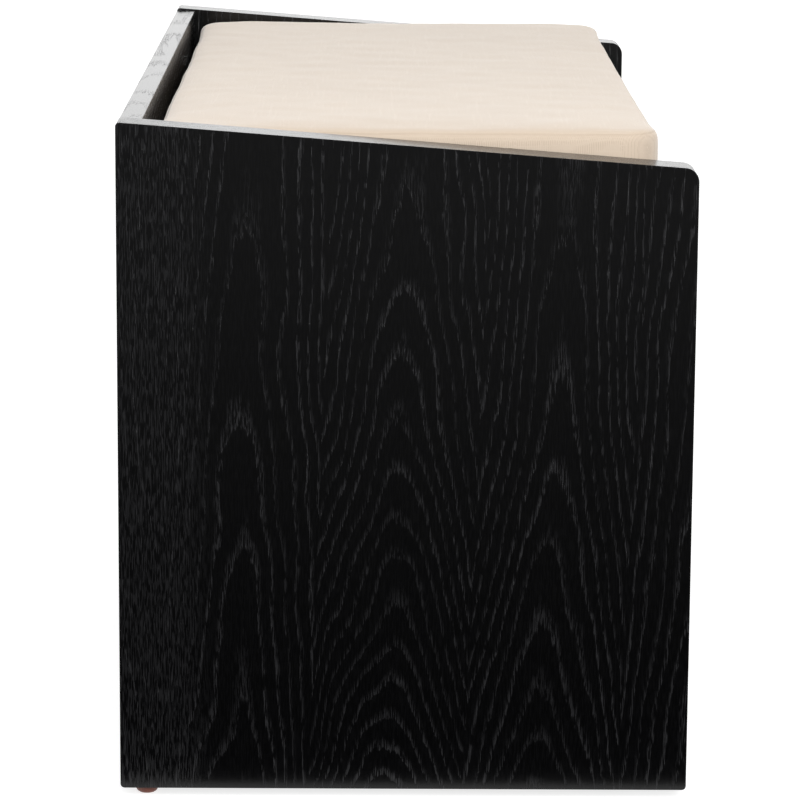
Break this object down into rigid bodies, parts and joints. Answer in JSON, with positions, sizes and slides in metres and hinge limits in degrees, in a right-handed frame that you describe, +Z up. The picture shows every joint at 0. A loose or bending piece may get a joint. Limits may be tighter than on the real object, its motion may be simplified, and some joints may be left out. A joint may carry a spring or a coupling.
{
  "type": "storage bench",
  "caption": "Storage bench with sloping end panels, a raised back board, a loose seat cushion, drawers on telescopic slides and open cubbies below.",
  "frame": {"origin": "on the floor under the middle of the bench", "axes": "+X along the bench, the front with the drawers faces -Y, +Z up"},
  "size_m": [0.85, 0.4, 0.4798],
  "materials": {
    "black_veneer": "black-stained open-pore veneer under a satin clear coat",
    "black_melamine": "matt black melamine-faced board",
    "linen": "natural linen-like plain weave",
    "foam": "cut upholstery foam",
    "brown_plastic": "moulded red-brown plastic",
    "zinc_steel": "zinc-plated steel",
    "beech": "fluted raw beech"
  },
  "bodies": {
    "root": {"end_panel_left": "black_veneer", "end_panel_right": "black_veneer", "back_board": "black_veneer", "seat_board": "black_veneer", "mid_shelf": "black_veneer", "bottom_board": "black_veneer", "drawer_divider": "black_veneer", "cubby_divider": "black_veneer", "plinth_rail": "black_veneer", "glide_rear_left": "brown_plastic", "glide_rear_right": "brown_plastic", "glide_front_left": "brown_plastic", "glide_front_centre": "brown_plastic", "glide_front_right": "brown_plastic", "seat_cam_left_front": "zinc_steel", "seat_cam_left_rear": "zinc_steel", "seat_cam_right_front": "zinc_steel", "seat_cam_right_rear": "zinc_steel", "seat_cam_bolt_left_front": "zinc_steel", "seat_cam_bolt_left_rear": "zinc_steel", "seat_cam_bolt_right_front": "zinc_steel", "seat_cam_bolt_right_rear": "zinc_steel", "bottom_cam_left_front": "zinc_steel", "bottom_cam_left_rear": "zinc_steel", "bottom_cam_right_front": "zinc_steel", "bottom_cam_right_rear": "zinc_steel", "bottom_cam_bolt_left_front": "zinc_steel", "bottom_cam_bolt_left_rear": "zinc_steel", "bottom_cam_bolt_right_front": "zinc_steel", "bottom_cam_bolt_right_rear": "zinc_steel", "shelf_dowel_left_front": "beech", "shelf_dowel_left_rear": "beech", "shelf_dowel_right_front": "beech", "shelf_dowel_right_rear": "beech", "left_drawer_left_slide_outer": "zinc_steel", "left_drawer_right_slide_outer": "zinc_steel", "right_drawer_left_slide_outer": "zinc_steel", "right_drawer_right_slide_outer": "zinc_steel"},
    "left_drawer": {"left_drawer_front": "black_veneer", "left_drawer_left_side": "black_melamine", "left_drawer_right_side": "black_melamine", "left_drawer_back": "black_melamine", "left_drawer_bottom": "black_melamine", "left_drawer_left_slide_inner": "zinc_steel", "left_drawer_right_slide_inner": "zinc_steel"},
    "left_drawer_runners": {"left_drawer_left_slide_middle": "zinc_steel", "left_drawer_right_slide_middle": "zinc_steel"},
    "right_drawer": {"right_drawer_front": "black_veneer", "right_drawer_left_side": "black_melamine", "right_drawer_right_side": "black_melamine", "right_drawer_back": "black_melamine", "right_drawer_bottom": "black_melamine", "right_drawer_left_slide_inner": "zinc_steel", "right_drawer_right_slide_inner": "zinc_steel"},
    "right_drawer_runners": {"right_drawer_left_slide_middle": "zinc_steel", "right_drawer_right_slide_middle": "zinc_steel"},
    "cushion": {"cushion_cover": "linen", "cushion_foam": "foam", "cushion_zip": "linen"}
  },
  "joints": [
    {"name": "left_drawer_slide", "type": "slide", "parent": "root", "child": "left_drawer", "axis": [0, -1, 0], "range_m": [0, 0.28]},
    {"name": "left_runner_slide", "type": "slide", "parent": "root", "child": "left_drawer_runners", "axis": [0, -1, 0], "range_m": [0, 0.14]},
    {"name": "right_drawer_slide", "type": "slide", "parent": "root", "child": "right_drawer", "axis": [0, -1, 0], "range_m": [0, 0.28]},
    {"name": "right_runner_slide", "type": "slide", "parent": "root", "child": "right_drawer_runners", "axis": [0, -1, 0], "range_m": [0, 0.14]},
    {"name": "cushion_lift", "type": "slide", "parent": "root", "child": "cushion", "axis": [0, 0, 1], "range_m": [0, 0.15]}
  ],
  "couplings": [
    {"joint": "left_runner_slide", "follows": "left_drawer_slide", "ratio": 0.5},
    {"joint": "right_runner_slide", "follows": "right_drawer_slide", "ratio": 0.5}
  ]
}
